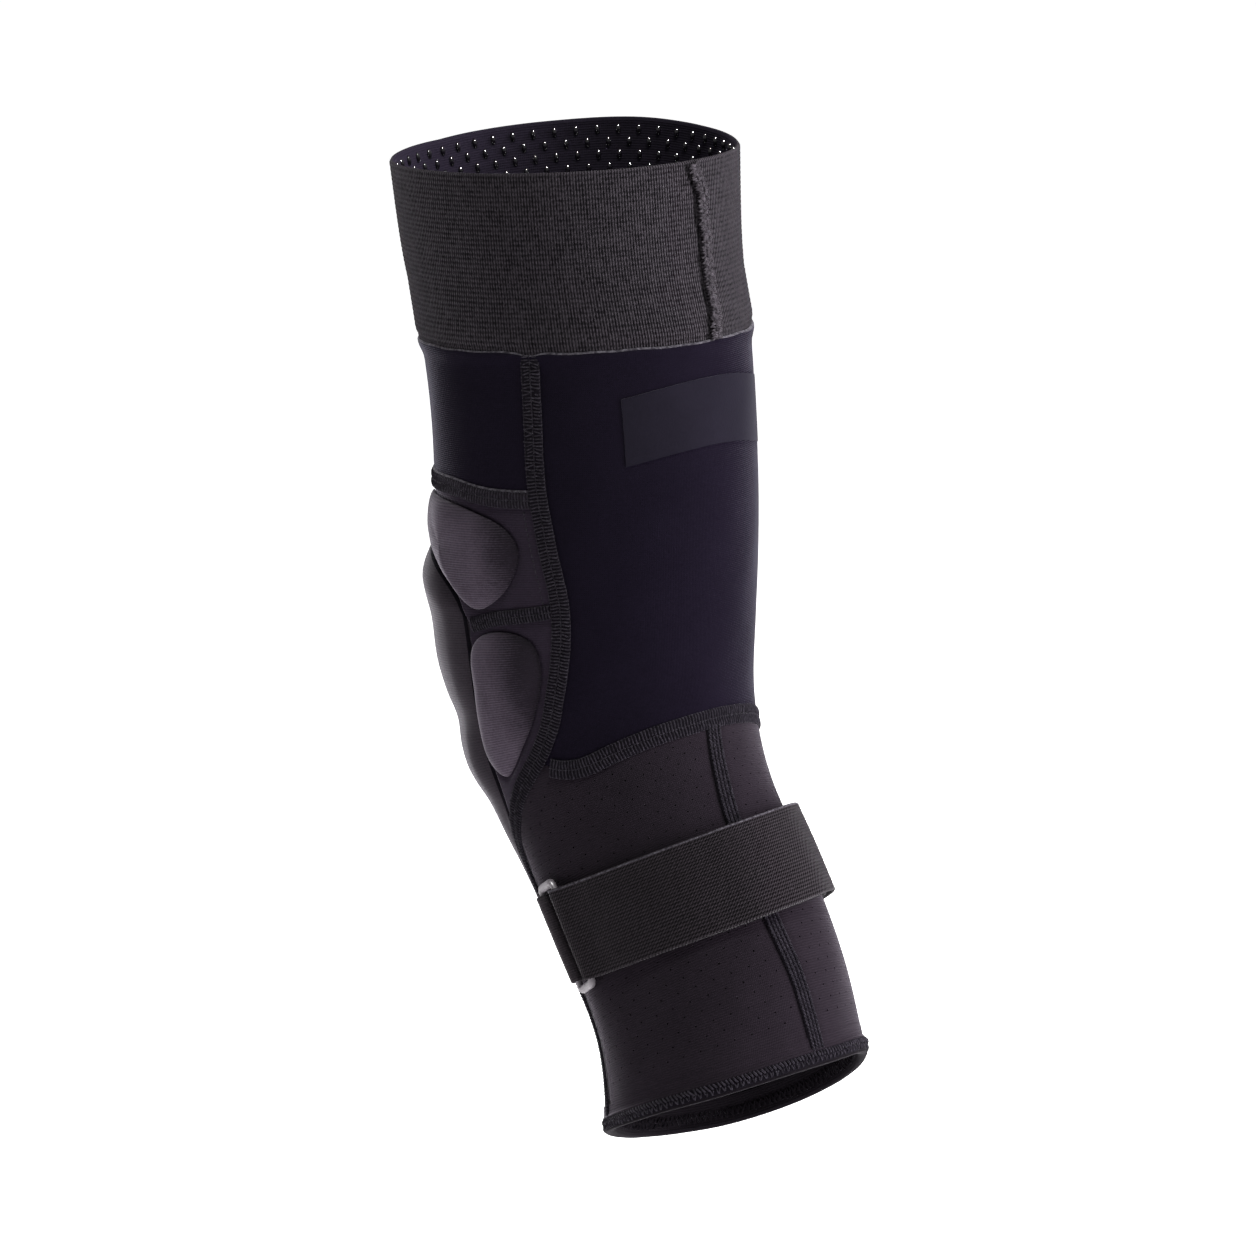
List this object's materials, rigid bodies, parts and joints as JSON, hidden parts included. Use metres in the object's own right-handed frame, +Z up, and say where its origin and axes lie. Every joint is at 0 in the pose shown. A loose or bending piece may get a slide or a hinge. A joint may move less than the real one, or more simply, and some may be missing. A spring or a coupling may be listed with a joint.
{
  "type": "mountain bike knee guard",
  "caption": "Pull-on mountain bike knee guard: elastic thigh cuff, stretch sleeve, padded knee cover and side pads, perforated calf with a strap through a ring.",
  "frame": {"origin": "the middle of the leg hollow at the bend of the knee, where the guard sits on the leg", "axes": "+Z up along the thigh, -Y out through the kneecap, +X to the wearer's left, the side with the strap ring"},
  "size_m": [0.1363, 0.209, 0.3916],
  "materials": {
    "cuff_knit": "ribbed elastic knit",
    "stretch": "smooth stretch jersey",
    "patch": "bonded flat film on jersey",
    "pad_knit": "brushed knit over moulded foam",
    "cover_knit": "brushed knit over foam",
    "neoprene": "perforated neoprene with knit face",
    "thread": "flat sewn thread",
    "webbing": "ribbed elastic webbing",
    "ring_plastic": "moulded plastic"
  },
  "bodies": {
    "root": {"cuff": "cuff_knit", "cuff_back_seam": "cuff_knit", "thigh_front_panel": "stretch", "back_panel": "stretch", "back_patch": "patch", "pad_yoke": "pad_knit", "knee_cover": "cover_knit", "calf_panel_left": "neoprene", "calf_panel_right": "neoprene", "hem_band": "neoprene", "thigh_seam": "thread", "back_knee_seam": "thread", "calf_seam": "thread", "strap": "webbing", "ring_tab": "webbing", "strap_ring": "ring_plastic", "lower_side_panel_left": "pad_knit", "upper_side_pad_left": "pad_knit", "lower_side_pad_left": "pad_knit", "side_seam_left": "thread", "mid_seam_left": "thread", "lower_side_panel_right": "pad_knit", "upper_side_pad_right": "pad_knit", "lower_side_pad_right": "pad_knit", "side_seam_right": "thread", "mid_seam_right": "thread"}
  },
  "joints": []
}
